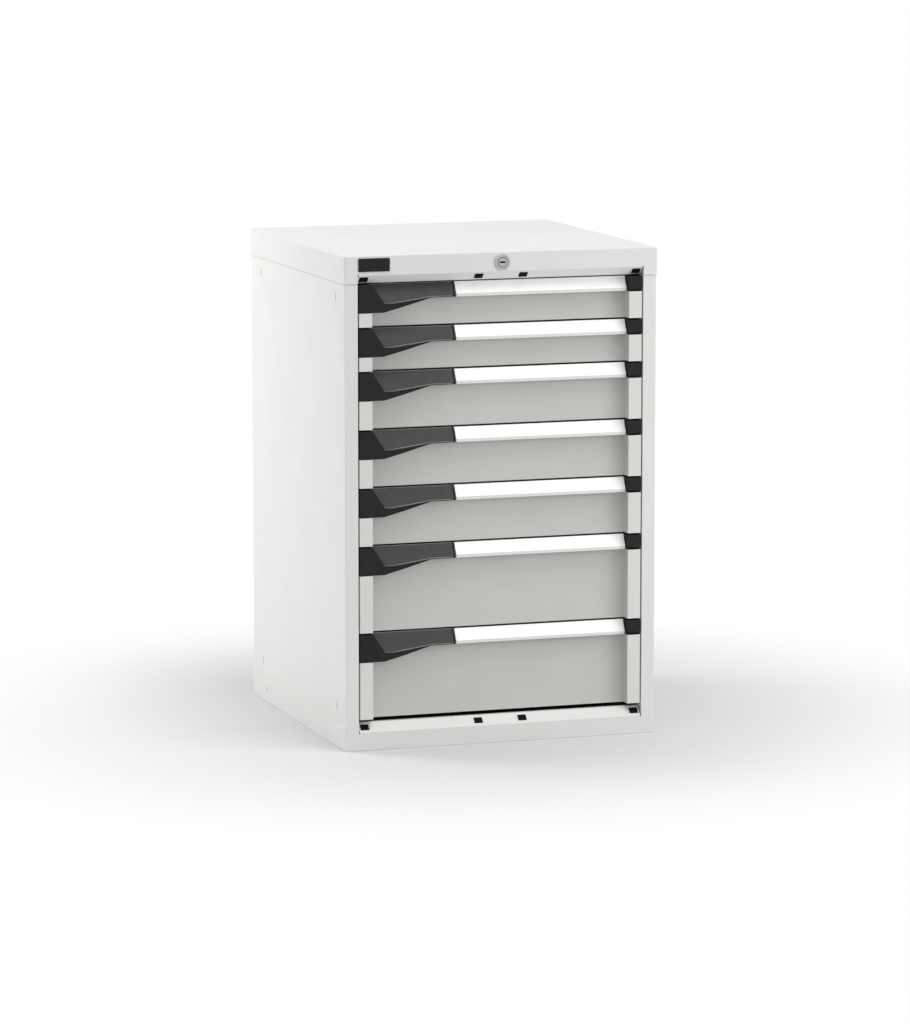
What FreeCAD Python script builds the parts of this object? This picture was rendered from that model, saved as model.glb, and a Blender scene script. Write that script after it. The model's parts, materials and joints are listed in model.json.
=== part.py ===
"""Seven-drawer steel cabinet with telescopic runners, thumb latches and a central lock.

Frame: origin at the bottom centre of the footprint, X to the right, Y to the back, Z up.
The drawers face -Y. All sizes are millimetres.
"""
import FreeCAD, Part
import Sketcher
import math
import os
import re

# Driving sizes: name, millimetres, what it measures.
SIZES = [
    ("cab_width", 564, "width over the top cover"),
    ("cab_depth", 572, "depth over the top cover"),
    ("sheet", 1.2, "steel sheet of the casing"),
    ("skirt_height", 47, "edge height of the cover and of the base"),
    ("cover_face", 33, "upright part of the cover's front edge"),
    ("base_face", 31.5, "upright part of the base's front edge"),
    ("pan_return", 9, "flange behind each bevel"),
    ("relief_width", 1.6, "slit between bevel and corner tab"),
    ("relief_rise", 2, "how far the slit runs past the fold"),
    ("stile_width", 24.5, "front stile, measured from the cover's corner"),
    ("stile_return", 24, "fold behind the stile"),
    ("rear_flange", 20, "fold behind the side at the back"),
    ("top_clear", 1, "space between the cover and the drawer stack"),
    ("bottom_clear", 5, "space between the base and the drawer stack"),
    ("pitch_1", 75, "height of drawer 1, the top one"),
    ("pitch_2", 75, "height of drawer 2"),
    ("pitch_3", 100, "height of drawer 3"),
    ("pitch_4", 100, "height of drawer 4"),
    ("pitch_5", 100, "height of drawer 5"),
    ("pitch_6", 150, "height of drawer 6"),
    ("pitch_7", 150, "height of drawer 7, the bottom one"),
    ("front_gap", 3.2, "gap between two drawer fronts"),
    ("side_gap", 2.5, "gap between drawer front and stile"),
    ("post_width", 23.5, "upright post at each end of a drawer front"),
    ("post_depth", 21, "outer fold of a post"),
    ("panel_recess", 22, "how far the front panel stands behind the posts"),
    ("panel_sheet", 1.2, "sheet of the drawer fronts"),
    ("hem_height", 8, "bent lower edge of the front panel"),
    ("hem_out", 1.5, "how far the lower edge is bent forward"),
    ("hem_lip", 1, "lip along the foot of the bent edge"),
    ("tray_inset", 1, "tray side behind the post's inner face"),
    ("tray_sheet", 1, "sheet of the trays"),
    ("tray_depth", 459, "inside depth of a tray"),
    ("tray_lift", 5, "tray floor above the front's lower edge"),
    ("tray_drop", 17, "tray rim below the drawer's height"),
    ("rail_bottom", 8, "runner above the front's lower edge"),
    ("rail_height", 26, "height of the runner rails"),
    ("rail_sheet", 1.5, "sheet of the runner rails"),
    ("rail_reach", 10.5, "flange width of the runner rails"),
    ("rail_start", 27, "front end of the runners, behind the front plane"),
    ("fixed_length", 480, "length of the fixed rails"),
    ("moving_length", 455, "length of tray rails and carriages"),
    ("slide_gap", 0.3, "running clearance in the runners"),
    ("tongue", 3, "thickness of the carriage tongues"),
    ("carriage_web", 4, "thickness of the carriage web"),
    ("column_inset", 0.5, "column face inside the stile's edge"),
    ("column_sheet", 1.5, "sheet of the columns"),
    ("column_depth", 40, "depth of a column"),
    ("column_start", 28.8, "front column behind the front plane"),
    ("column_clear", 7, "rear column in front of the side plugs' stems"),
    ("slot_pitch", 25, "spacing of the slots in the columns"),
    ("slot_tall", 12, "height of a column slot"),
    ("slot_wide", 4, "width of a column slot"),
    ("slot_margin", 30, "plain length at each end of a column"),
    ("part_gap", 0.5, "parting gap between plastic and steel pieces"),
    ("housing_width", 174, "latch housing, along the front"),
    ("housing_height", 47.5, "latch housing at the post"),
    ("handle_height", 25.2, "grip rail and end cap"),
    ("cap_width", 23, "right end cap"),
    ("cap_bevel", 4, "bevel under the end cap"),
    ("grip_gap", 2, "gap at each end of the grip rail"),
    ("face_drop", 19.9, "height of the sloping label face"),
    ("face_front", 9, "lower edge of the label face behind the front plane"),
    ("face_back", 20.4, "upper edge of the label face behind the front plane"),
    ("label_sheet", 0.8, "label with its clear cover"),
    ("grip_wall", 2, "wall of the grip rail"),
    ("grip_foot", 1.5, "fixing flange of the grip rail"),
    ("grip_foot_drop", 14, "height of the fixing flange"),
    ("moulding_wall", 2.4, "wall of the plastic mouldings"),
    ("block_width", 24, "flush face of the housing at its top edge"),
    ("block_slant", 20.3, "how far the recess edge leans to the right"),
    ("lever_height", 31, "thumb lever at its left end"),
    ("lever_flat", 60, "end of the lever's level lower edge"),
    ("lever_taper", 131.5, "end of the lever's sloping lower edge"),
    ("lever_short", 22.6, "thumb lever at its right end"),
    ("lever_top", 18.8, "lever's upper edge behind the front plane"),
    ("lever_lean", 17.6, "how far the lever leans forward over its height"),
    ("lever_wall", 2.2, "thickness of the lever, measured level"),
    ("lever_gap", 0.6, "gap above the lever and at its right end"),
    ("lever_side", 1.2, "gap at the lever's slanting left end"),
    ("lever_room", 1.6, "swing room under the lever at its left end"),
    ("lever_room_end", 1.3, "swing room under the lever at its right end"),
    ("wing_end", 130, "where the housing's lower edge levels out"),
    ("wing_turn", 80, "where the housing's face starts to fall back"),
    ("wing_back", 5.5, "how far it falls back at its right end"),
    ("pivot_radius", 1.5, "lever pivot"),
    ("pivot_back", 19, "pivot behind the front plane"),
    ("pivot_drop", 4.4, "pivot below the front's upper edge"),
    ("fit_gap", 0.1, "radial clearance of turning fits"),
    ("arm_start", 8, "latch arm from the front's left edge"),
    ("arm_wide", 4, "latch arm, along the pivot"),
    ("arm_deep", 5, "height of the latch arm"),
    ("arm_drop", 3.4, "latch arm below the front's upper edge"),
    ("tooth_back", 56, "tooth of the arm behind the front plane"),
    ("tooth_deep", 5, "thickness of the tooth"),
    ("tooth_drop", 12, "tip of the tooth below the front's upper edge"),
    ("strike_deep", 5, "thickness of a latch strike"),
    ("strike_tall", 7.5, "height of a latch strike"),
    ("strike_plate", 20, "fixing plate of a latch strike"),
    ("lug_reach", 17.5, "locking lug out of the tray side"),
    ("lug_bottom", 45, "locking lug above the front's lower edge"),
    ("lug_tall", 11, "height of the locking lug"),
    ("lug_deep", 4, "thickness of the locking lug"),
    ("bar_sheet", 2, "sheet of the lock bars"),
    ("lift_start", 25, "lift bar behind the front plane"),
    ("lift_edge", 1.5, "lift bar outside the stile's edge"),
    ("lift_wide", 16, "width of the lift bar"),
    ("lift_tail", 10, "lift bar below its lowest tooth"),
    ("lock_tooth", 7, "height of a locking tooth"),
    ("lock_play", 2, "play between tooth and lug"),
    ("tooth_clear", 5.5, "end of a locking tooth from the tray side"),
    ("pin_drop", 32, "lift pin below the top of the cabinet"),
    ("lift_pin", 3, "radius of the lift pin"),
    ("pin_inset", 3, "lift pin inside the bar's inner edge"),
    ("pin_edge", 6, "metal round the lift pin"),
    ("bar_step", 1, "gap between lift bar and draw bar"),
    ("draw_low", 37, "draw bar's lower edge below the cabinet top"),
    ("draw_high", 17, "draw bar's upper edge below the cabinet top"),
    ("draw_tail", 22, "draw bar left of the lock"),
    ("cam_edge", 4.2, "metal round the sloping slot"),
    ("lock_drop", 17.3, "lock axis below the cabinet top"),
    ("ring_radius", 14, "front ring of the lock"),
    ("ring_proud", 2.5, "front ring, out of the cover"),
    ("ring_chamfer", 0.8, "edge of the front ring"),
    ("barrel_radius", 11, "lock barrel"),
    ("barrel_length", 21, "lock barrel behind the cover's face"),
    ("plug_radius", 9, "turning plug of the lock"),
    ("key_long", 8.5, "key slot"),
    ("key_wide", 1.8, "key slot"),
    ("key_deep", 12, "key slot"),
    ("crank_radius", 10, "crank pin from the lock axis"),
    ("crank_sheet", 2.5, "crank plate"),
    ("crank_half", 5, "half width of the crank plate"),
    ("crank_edge", 4.5, "metal beyond the crank pin and the axis"),
    ("crank_pin", 2.5, "radius of the crank pin"),
    ("pin_play", 0.45, "play of the crank pin in its slot"),
    ("nut_half", 13.5, "half the width over the nut's flats"),
    ("nut_length", 5, "thickness of the lock nut"),
    ("guide_wide", 20, "width of a bar guide"),
    ("guide_near", 60, "first draw bar guide from the middle"),
    ("guide_far", 190, "second draw bar guide from the middle"),
    ("guide_low", 120, "lower lift bar guide above the floor"),
    ("guide_high", 640, "upper lift bar guide above the floor"),
    ("guide_sheet", 1.5, "sheet of the bar guides"),
    ("guide_lip", 7, "front lip of a draw bar guide"),
    ("guide_hook", 9.3, "front lip of a lift bar guide"),
    ("badge_left", 25.3, "bare plate from the cover's left corner"),
    ("badge_wide", 55.5, "bare plate"),
    ("badge_tall", 22.6, "bare plate"),
    ("badge_drop", 4, "bare plate below the cover's top"),
    ("badge_sheet", 1.5, "thickness of the bare plate"),
    ("badge_round", 1.5, "corners of the bare plate"),
    ("plug_margin", 12, "outer bevel plugs from the stile's edge"),
    ("plug_spacing", 80, "between the two middle bevel plugs"),
    ("plug_wide", 15, "head of a bevel plug"),
    ("plug_tall", 11.4, "head of a bevel plug, along the slope"),
    ("plug_head", 1, "thickness of the plug heads"),
    ("plug_rim", 1.5, "overlap of a plug head round its hole"),
    ("plug_stem", 4, "stem of a plug"),
    ("plug_play", 0.2, "play of a stem in its hole"),
    ("button_radius", 6.2, "head of a side plug"),
    ("button_stem", 5, "stem radius of a side plug"),
    ("button_in", 58, "side plugs from the front and back edges"),
    ("button_up", 72.5, "side plugs from the floor and from the top"),
    ("drain_radius", 4, "hole in each side of the base"),
    ("drain_back", 480, "hole behind the front edge"),
    ("drain_up", 24.5, "hole above the floor"),
]
DRAWERS = 7
SIZE_NAMES = {name for name, value, meaning in SIZES}

# Sizes that follow from the driving ones. Each rule may use the ones above it.
RULES = {
    "stack": " + ".join(f"pitch_{n}" for n in range(1, DRAWERS + 1)),
    "cab_height": "2 * skirt_height + top_clear + bottom_clear + stack",
    "shell_half": "cab_width / 2 - sheet",
    "inner_half": "shell_half - sheet",
    "stile_half": "cab_width / 2 - stile_width",
    "front_half": "stile_half - side_gap",
    "post_half": "front_half - post_width",
    "tray_half": "post_half - tray_inset",
    "web_half": "stile_half - column_inset",
    "cover_plane": "-cab_depth / 2",
    "front_plane": "cover_plane + sheet",
    "panel_back": "panel_recess + panel_sheet",
    "tray_back": "panel_back + tray_depth + 2 * tray_sheet",
    "rail_top": "rail_bottom + rail_height",
    "tongue_low": "rail_bottom + rail_sheet + slide_gap",
    "tongue_high": "rail_top - rail_sheet - slide_gap",
    "web_low": "(rail_bottom + rail_top - carriage_web) / 2",
    "web_high": "web_low + carriage_web",
    "inner_tongue": "tray_half + rail_sheet + slide_gap",
    "outer_tongue": "web_half - rail_sheet - slide_gap",
    "column_top": "cab_height - skirt_height",
    "rear_column_back": "cab_depth / 2 - button_in - button_stem - column_clear",
    "column_span": "rear_column_back - column_depth - front_plane - column_start",
    "plug_outer": "stile_half - plug_margin",
    "front_left": "-front_half",
    "housing_right": "front_left + housing_width",
    "grip_left": "housing_right + grip_gap",
    "grip_right": "front_half - cap_width - grip_gap",
    "face_run": "(face_back - face_front) / face_drop",
    "grip_inner": "label_sheet + grip_wall",
    "grip_crotch": "(face_back + grip_inner - panel_recess + grip_foot) / face_run",
    "lever_run": "lever_lean / lever_height",
    "recess_run": "block_slant / lever_height",
    "lift_inner": "stile_half + lift_edge",
    "lift_outer": "lift_inner + lift_wide",
    "lift_back": "lift_start + bar_sheet",
    "stroke": "2 * crank_radius * sin(45)",
    "tooth_top": "lug_bottom - lock_play",
    "lock_height": "cab_height - lock_drop",
    "pin_height": "cab_height - pin_drop",
    "pin_across": "lift_inner - pin_inset",
    "pin_slack": "lift_pin + slide_gap",
    "draw_start": "lift_back + bar_step",
    "draw_back": "draw_start + bar_sheet",
    "slot_half": "crank_pin + pin_play",
    "crank_start": "barrel_length + slide_gap",
    "crank_back": "crank_start + crank_sheet",
    "crank_shift": "crank_radius * sin(45)",
}

doc = FreeCAD.newDocument("DrawerCabinet")
sheet = doc.addObject("Spreadsheet::Sheet", "Sizes")
for row, (name, value, meaning) in enumerate(SIZES, 1):
    sheet.set(f"A{row}", name)
    sheet.set(f"B{row}", str(value))
    sheet.set(f"C{row}", meaning)
    sheet.setAlias(f"B{row}", name)
doc.recompute()


def rule(text):
    """Turn a rule in plain names into one in cells of the sheet."""
    def cell(match):
        word = match[0]
        if word in SIZE_NAMES:
            return f"Sizes.{word}"
        if word in RULES:
            return f"({rule(RULES[word])})"
        return word
    return re.sub(r"[a-z][a-z_0-9]*", cell, str(text))


def bind(item, prop, text):
    item.setExpression(prop, rule(text))


def amount(text):
    """The present value of a rule."""
    return float(sheet.evalExpression(rule(text)))


def new_body(name):
    return doc.addObject("PartDesign::Body", name)


def new_sketch(body, name, plane, start):
    """A sketch in one of the body's own planes, moved along that plane's axis to start."""
    sketch = body.newObject("Sketcher::SketchObject", name)
    role = plane + "_Plane"
    origin = next(item for item in body.Origin.OriginFeatures if item.Role == role)
    sketch.AttachmentSupport = (origin, [""])
    sketch.MapMode = "FlatFace"
    # The XZ plane looks towards -Y, so its offset counts the other way.
    bind(sketch, "AttachmentOffset.Base.z", f"-({start})" if plane == "XZ" else start)
    return sketch


def draw_outline(sketch, corners):
    """A closed outline through corners, each a pair of rules."""
    first = sketch.GeometryCount
    spots = [FreeCAD.Vector(amount(across), amount(up), 0) for across, up in corners]
    count = len(corners)
    for index in range(count):
        sketch.addGeometry(Part.LineSegment(spots[index], spots[(index + 1) % count]), False)
    for index in range(count):
        following = first + (index + 1) % count
        sketch.addConstraint(Sketcher.Constraint("Coincident", first + index, 2, following, 1))
    for index, pair in enumerate(corners):
        for kind, text, value in zip(("DistanceX", "DistanceY"), pair, spots[index]):
            held = Sketcher.Constraint(kind, -1, 1, first + index, 1, value)
            bind(sketch, f"Constraints[{sketch.addConstraint(held)}]", text)


def draw_circle(sketch, across, up, radius):
    centre = FreeCAD.Vector(amount(across), amount(up), 0)
    circle = Part.Circle(centre, FreeCAD.Vector(0, 0, 1), amount(radius))
    index = sketch.addGeometry(circle, False)
    for kind, text, value in zip(("DistanceX", "DistanceY"), (across, up), centre):
        held = Sketcher.Constraint(kind, -1, 1, index, 3, value)
        bind(sketch, f"Constraints[{sketch.addConstraint(held)}]", text)
    held = Sketcher.Constraint("Radius", index, amount(radius))
    bind(sketch, f"Constraints[{sketch.addConstraint(held)}]", radius)


def extrude(body, kind, name, sketch, plane, length):
    """A Pad or Pocket that runs from its sketch along the plane's positive axis."""
    feature = body.newObject(f"PartDesign::{kind}", name)
    feature.Profile = sketch
    bind(feature, "Length", length)
    feature.Reversed = (kind == "Pad") == (plane == "XZ")
    return feature


def shape(body, kind, name, plane, start, end, *outlines):
    """Add or cut a prism between two places along an axis, with one or more outlines."""
    sketch = new_sketch(body, f"{name}_sketch", plane, start)
    for corners in outlines:
        draw_outline(sketch, corners)
    return extrude(body, kind, name, sketch, plane, f"({end}) - ({start})")


def bore(body, kind, name, plane, start, end, radius, *centres):
    """Add or cut round prisms of one radius between two places along an axis."""
    sketch = new_sketch(body, f"{name}_sketch", plane, start)
    for across, up in centres:
        draw_circle(sketch, across, up, radius)
    return extrude(body, kind, name, sketch, plane, f"({end}) - ({start})")


def rectangle(low_x, high_x, low_y, high_y):
    return [(low_x, low_y), (high_x, low_y), (high_x, high_y), (low_x, high_y)]


def flipped(corners):
    """The same outline on the other side of the vertical axis."""
    return [(f"-({across})", up) for across, up in corners]


def block(name, x_range, y_range, z_range):
    """A rectangular block between pairs of rules."""
    solid = doc.addObject("Part::Box", name)
    ranges = (x_range, y_range, z_range)
    for prop, letter, (low, high) in zip(("Length", "Width", "Height"), "xyz", ranges):
        bind(solid, prop, f"({high}) - ({low})")
        bind(solid, f"Placement.Base.{letter}", low)
    return solid


def grouped(name, pieces, across="0", back="0", up="0"):
    """Pieces held together as separate solids and moved as one."""
    group = doc.addObject("Part::Compound", name)
    group.Links = pieces
    for letter, text in zip("xyz", (across, back, up)):
        bind(group, f"Placement.Base.{letter}", text)
    return group


def mirrored(name, source):
    """The left-hand twin of a right-hand piece."""
    twin = doc.addObject("Part::Mirroring", name)
    twin.Source = source
    twin.Normal = (1, 0, 0)
    return twin


def slot_floor(number):
    """Lower edge of a drawer front above the floor."""
    below = [f"pitch_{n}" for n in range(number + 1, DRAWERS + 1)]
    return " + ".join(["skirt_height + bottom_clear + front_gap / 2"] + below)


def slot_head(number):
    """Upper edge of a drawer front above the floor."""
    return f"{slot_floor(number)} + pitch_{number} - front_gap"


# Casing


def make_pan(name, face, bevel):
    """A folded pan with its outer face at Z = 0 and its edges hanging down.

    The front edge is upright at the corners and bevelled inward between them.
    """
    pan = new_body(name)
    half, deep = "cab_width / 2", "cab_depth / 2"
    outer = rectangle(f"-{half}", half, f"-{deep}", deep)
    shape(pan, "Pad", f"{name}_block", "XY", "-skirt_height", "0", outer)
    inner = rectangle("-shell_half", "shell_half", f"sheet - {deep}", f"{deep} - sheet")
    shape(pan, "Pocket", f"{name}_hollow", "XY", "-skirt_height", "-sheet", inner)
    mouth = rectangle("-stile_half", "stile_half", f"-{deep}", f"sheet - {deep}")
    shape(pan, "Pocket", f"{name}_mouth", "XY", "-skirt_height", f"-({face})", mouth)
    slit = rectangle("stile_half - relief_width", "stile_half", f"-{deep}", f"sheet - {deep}")
    shape(pan, "Pocket", f"{name}_slits", "XY", f"-({face})", f"relief_rise - {face}",
          slit, flipped(slit))
    # The inner face of the bevel meets its neighbours where the sheet keeps its thickness.
    fold = "sheet * tan(22.5)"
    strip = [
        (f"-{deep}", f"-({face})"),
        (f"{bevel} - {deep}", "-skirt_height"),
        (f"{bevel} + pan_return - {deep}", "-skirt_height"),
        (f"{bevel} + pan_return - {deep}", "sheet - skirt_height"),
        (f"{bevel} + {fold} - {deep}", "sheet - skirt_height"),
        (f"sheet - {deep}", f"{fold} - {face}"),
    ]
    shape(pan, "Pad", f"{name}_bevel", "YZ",
          "relief_width - stile_half", "stile_half - relief_width", strip)
    return pan


PLUG_PLACES = ("-plug_outer", "-plug_spacing / 2", "plug_spacing / 2", "plug_outer")


def plug_copies(name, source, face, bevel, angle):
    """Four copies along a pan's bevel, in the pan's own frame."""
    copies = []
    for number, across in enumerate(PLUG_PLACES, 1):
        copy = grouped(f"{name}_{number}", [source], across,
                       f"{bevel} / 2 - cab_depth / 2", f"-({face} + {bevel} / 2)")
        copy.Placement.Rotation = FreeCAD.Rotation(FreeCAD.Vector(1, 0, 0), angle)
        copies.append(copy)
    return copies


def cut(name, base, tools):
    result = doc.addObject("Part::Cut", name)
    result.Base = base
    result.Tool = grouped(f"{name}_tools", tools)
    return result


PAN_PLUG_ANGLE = 135
stem_x = "plug_wide / 2 - plug_rim"
stem_y = "plug_tall / 2 - plug_rim"
hole_x, hole_y = f"{stem_x} + plug_play", f"{stem_y} + plug_play"
bevel_plug = doc.addObject("Part::Fuse", "bevel_plug")
bevel_plug.Base = block("bevel_plug_head", ("-plug_wide / 2", "plug_wide / 2"),
                        ("-plug_tall / 2", "plug_tall / 2"), ("0", "plug_head"))
bevel_plug.Tool = block("bevel_plug_stem", (f"-({stem_x})", stem_x),
                        (f"-({stem_y})", stem_y), ("-plug_stem", "0"))
plug_hole = block("bevel_plug_hole", (f"-({hole_x})", hole_x),
                  (f"-({hole_y})", hole_y), ("-plug_stem", "plug_stem"))

cover_bevel = "(skirt_height - cover_face)"
base_bevel = "(skirt_height - base_face)"

cover_pan = make_pan("cover_pan", "cover_face", cover_bevel)
bore(cover_pan, "Pocket", "cover_lock_hole", "XZ", "cover_plane", "front_plane",
     "barrel_radius + plug_play", ("0", "-lock_drop"))
cover_holes = plug_copies("cover_hole", plug_hole, "cover_face", cover_bevel, PAN_PLUG_ANGLE)
cover_cut = cut("cover_cut", cover_pan, cover_holes)
top_cover = grouped("top_cover", [cover_cut], up="cab_height")

base_shape = make_pan("base_shape", "base_face", base_bevel)
bore(base_shape, "Pocket", "base_drains", "YZ", "-cab_width / 2", "cab_width / 2",
     "drain_radius", ("drain_back - cab_depth / 2", "-drain_up"))
base_holes = plug_copies("base_hole", plug_hole, "base_face", base_bevel, PAN_PLUG_ANGLE)
base_cut = cut("base_cut", base_shape, base_holes)
HALF_TURN = FreeCAD.Rotation(FreeCAD.Vector(0, 1, 0), 180)
base_pan = grouped("base_pan", [base_cut])
base_pan.Placement.Rotation = HALF_TURN

cover_plugs = plug_copies("cover_plug", bevel_plug, "cover_face", cover_bevel, PAN_PLUG_ANGLE)
base_plugs = plug_copies("base_plug", bevel_plug, "base_face", base_bevel, PAN_PLUG_ANGLE)
upper_plugs = grouped("upper_plugs", cover_plugs, up="cab_height")
lower_plugs = grouped("lower_plugs", base_plugs)
lower_plugs.Placement.Rotation = HALF_TURN
bevel_plugs = grouped("bevel_plugs", [upper_plugs, lower_plugs])

button_spots = [
    (back, up)
    for back in ("button_in - cab_depth / 2", "cab_depth / 2 - button_in")
    for up in ("button_up", "cab_height - button_up")
]

right_shell = new_body("right_side_shell")
shape(right_shell, "Pad", "shell_fold", "XY", "sheet", "cab_height - sheet", [
    ("shell_half", "front_plane"),
    ("stile_half", "front_plane"),
    ("stile_half", "front_plane + stile_return"),
    ("stile_half + sheet", "front_plane + stile_return"),
    ("stile_half + sheet", "front_plane + sheet"),
    ("inner_half", "front_plane + sheet"),
    ("inner_half", "-front_plane - sheet"),
    ("inner_half - rear_flange", "-front_plane - sheet"),
    ("inner_half - rear_flange", "-front_plane"),
    ("shell_half", "-front_plane"),
])
bore(right_shell, "Pocket", "shell_button_holes", "YZ", "inner_half", "shell_half",
     "button_stem + plug_play", *button_spots)
left_shell = mirrored("left_side_shell", right_shell)

button = new_body("side_plug")
bore(button, "Pad", "button_head", "YZ", "shell_half", "shell_half + plug_head",
     "button_radius", ("0", "0"))
bore(button, "Pad", "button_stem_pad", "YZ", "shell_half - plug_stem", "shell_half",
     "button_stem", ("0", "0"))
right_buttons = grouped("right_buttons", [
    grouped(f"side_plug_{number}", [button], back=back, up=up)
    for number, (back, up) in enumerate(button_spots, 1)
])
side_plugs = grouped("side_plugs", [right_buttons, mirrored("left_buttons", right_buttons)])

back_panel = block("back_panel", ("-inner_half", "inner_half"),
                   ("-front_plane - 2 * sheet", "-front_plane - sheet"),
                   ("sheet", "cab_height - sheet"))

# Columns and runners

column = new_body("front_column")
column_low = "front_plane + column_start"
column_high = f"{column_low} + column_depth"
shape(column, "Pad", "column_fold", "XY", "sheet", "column_top", [
    ("web_half", column_low),
    ("inner_half", column_low),
    ("inner_half", f"{column_low} + column_sheet"),
    ("web_half + column_sheet", f"{column_low} + column_sheet"),
    ("web_half + column_sheet", f"{column_high} - column_sheet"),
    ("inner_half", f"{column_high} - column_sheet"),
    ("inner_half", column_high),
    ("web_half", column_high),
])
slot_middle = f"{column_low} + column_depth / 2"
column_slot = shape(column, "Pocket", "column_slot", "YZ", "web_half", "web_half + column_sheet",
                    rectangle(f"{slot_middle} - slot_wide / 2", f"{slot_middle} + slot_wide / 2",
                              "slot_margin", "slot_margin + slot_tall"))
column_slots = column.newObject("PartDesign::LinearPattern", "column_slots")
column_slots.Originals = [column_slot]
column_slots.Direction = (column_slot.Profile[0], ["V_Axis"])
column_slots.Mode = "Spacing"
bind(column_slots, "Offset", "slot_pitch")
bind(column_slots, "Occurrences", "floor((column_top - 2 * slot_margin) / slot_pitch)")
column.Tip = column_slots
right_columns = grouped("right_columns", [
    column, grouped("rear_column", [column], back="column_span")])
columns = grouped("columns", [right_columns, mirrored("left_columns", right_columns)])

fixed_rail = new_body("fixed_rail")
rail_flange = "web_half - rail_reach"
shape(fixed_rail, "Pad", "fixed_rail_fold", "XZ", "rail_start", "rail_start + fixed_length", [
    ("web_half", "rail_bottom"),
    ("web_half", "rail_top"),
    (rail_flange, "rail_top"),
    (rail_flange, "rail_top - rail_sheet"),
    ("web_half - rail_sheet", "rail_top - rail_sheet"),
    ("web_half - rail_sheet", "rail_bottom + rail_sheet"),
    (rail_flange, "rail_bottom + rail_sheet"),
    (rail_flange, "rail_bottom"),
])
rail_pair = grouped("rail_pair", [fixed_rail, mirrored("fixed_rail_twin", fixed_rail)])
fixed_rails = grouped("fixed_rails", [
    grouped(f"rails_{number}", [rail_pair], back="front_plane", up=slot_floor(number))
    for number in range(1, DRAWERS + 1)
])

carriage = new_body("carriage")
shape(carriage, "Pad", "carriage_section", "XZ", "rail_start + 1", "rail_start + 1 + moving_length", [
    ("inner_tongue", "tongue_low"),
    ("inner_tongue + tongue", "tongue_low"),
    ("inner_tongue + tongue", "web_low"),
    ("outer_tongue - tongue", "web_low"),
    ("outer_tongue - tongue", "tongue_low"),
    ("outer_tongue", "tongue_low"),
    ("outer_tongue", "tongue_high"),
    ("outer_tongue - tongue", "tongue_high"),
    ("outer_tongue - tongue", "web_high"),
    ("inner_tongue + tongue", "web_high"),
    ("inner_tongue + tongue", "tongue_high"),
    ("inner_tongue", "tongue_high"),
])
carriage_twin = mirrored("carriage_twin", carriage)


# Drawers, in a frame at the middle of the front's lower edge


flange = "tray_half + rail_reach"
tray_rail = new_body("tray_rail")
shape(tray_rail, "Pad", "tray_rail_section", "XZ", "rail_start", "rail_start + moving_length", [
    ("tray_half", "rail_bottom"),
    (flange, "rail_bottom"),
    (flange, "rail_bottom + rail_sheet"),
    ("tray_half + rail_sheet", "rail_bottom + rail_sheet"),
    ("tray_half + rail_sheet", "rail_top - rail_sheet"),
    (flange, "rail_top - rail_sheet"),
    (flange, "rail_top"),
    ("tray_half", "rail_top"),
])
tray_rail_twin = mirrored("tray_rail_twin", tray_rail)
locking_lug = block("locking_lug", ("tray_half", "tray_half + lug_reach"),
                    ("lift_back + lock_play", "lift_back + lock_play + lug_deep"),
                    ("lug_bottom", "lug_bottom + lug_tall"))


def make_front(name, head):
    """A front panel with its bent lower edge, between two hollow posts."""
    front = new_body(f"{name}_front")
    shape(front, "Pad", f"{name}_panel", "YZ", "-post_half - panel_sheet", "post_half + panel_sheet", [
        ("panel_recess - hem_out - hem_lip", "0"),
        ("panel_back - hem_out", "0"),
        ("panel_back", "hem_height"),
        ("panel_back", head),
        ("panel_recess", head),
        ("panel_recess", "hem_height"),
        ("panel_recess - hem_out", "panel_sheet"),
        ("panel_recess - hem_out - hem_lip", "panel_sheet"),
    ])
    post = [
        ("post_half", "panel_back"),
        ("post_half", "0"),
        ("front_half", "0"),
        ("front_half", "post_depth"),
        ("front_half - panel_sheet", "post_depth"),
        ("front_half - panel_sheet", "panel_sheet"),
        ("post_half + panel_sheet", "panel_sheet"),
        ("post_half + panel_sheet", "panel_back"),
    ]
    shape(front, "Pad", f"{name}_right_post", "XY", "0",
          f"{head} - handle_height - part_gap", post)
    shape(front, "Pad", f"{name}_left_post", "XY", "0",
          f"{head} - housing_height - part_gap", flipped(post))
    return front


def make_tray(number):
    """A tray welded from flat sheets, with its front, rails and locking lug."""
    name = f"drawer_{number}_tray"
    bottom, rim = "tray_lift + tray_sheet", f"pitch_{number} - tray_drop"
    inner, front_wall, back_wall = "tray_half - tray_sheet", "panel_back + tray_sheet", "tray_back - tray_sheet"
    sheets = [
        block(f"{name}_floor", ("-tray_half", "tray_half"), ("panel_back", "tray_back"),
              ("tray_lift", bottom)),
        block(f"{name}_left", ("-tray_half", f"-({inner})"), ("panel_back", "tray_back"),
              (bottom, rim)),
        block(f"{name}_right", (inner, "tray_half"), ("panel_back", "tray_back"), (bottom, rim)),
        block(f"{name}_near", (f"-({inner})", inner), ("panel_back", front_wall), (bottom, rim)),
        block(f"{name}_far", (f"-({inner})", inner), (back_wall, "tray_back"), (bottom, rim)),
    ]
    front = make_front(name, f"pitch_{number} - front_gap")
    return grouped(name, sheets + [front, tray_rail, tray_rail_twin, locking_lug],
                   back="front_plane", up=slot_floor(number))


# Handle pieces, in a frame at the middle of the front's upper edge

grip_rail = new_body("grip_rail")
shape(grip_rail, "Pad", "grip_section", "YZ", "grip_left", "grip_right", [
    ("panel_recess", "0"),
    ("panel_recess", "-grip_foot_drop"),
    ("panel_recess - grip_foot", "-grip_foot_drop"),
    ("panel_recess - grip_foot", "-grip_crotch"),
    ("face_front + grip_inner", "-face_drop"),
    ("face_front + grip_inner", "-handle_height"),
    ("face_front", "-handle_height"),
    ("face_front", "-face_drop"),
    ("face_front + label_sheet", "-face_drop"),
    ("face_back + label_sheet", "0"),
])

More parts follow.
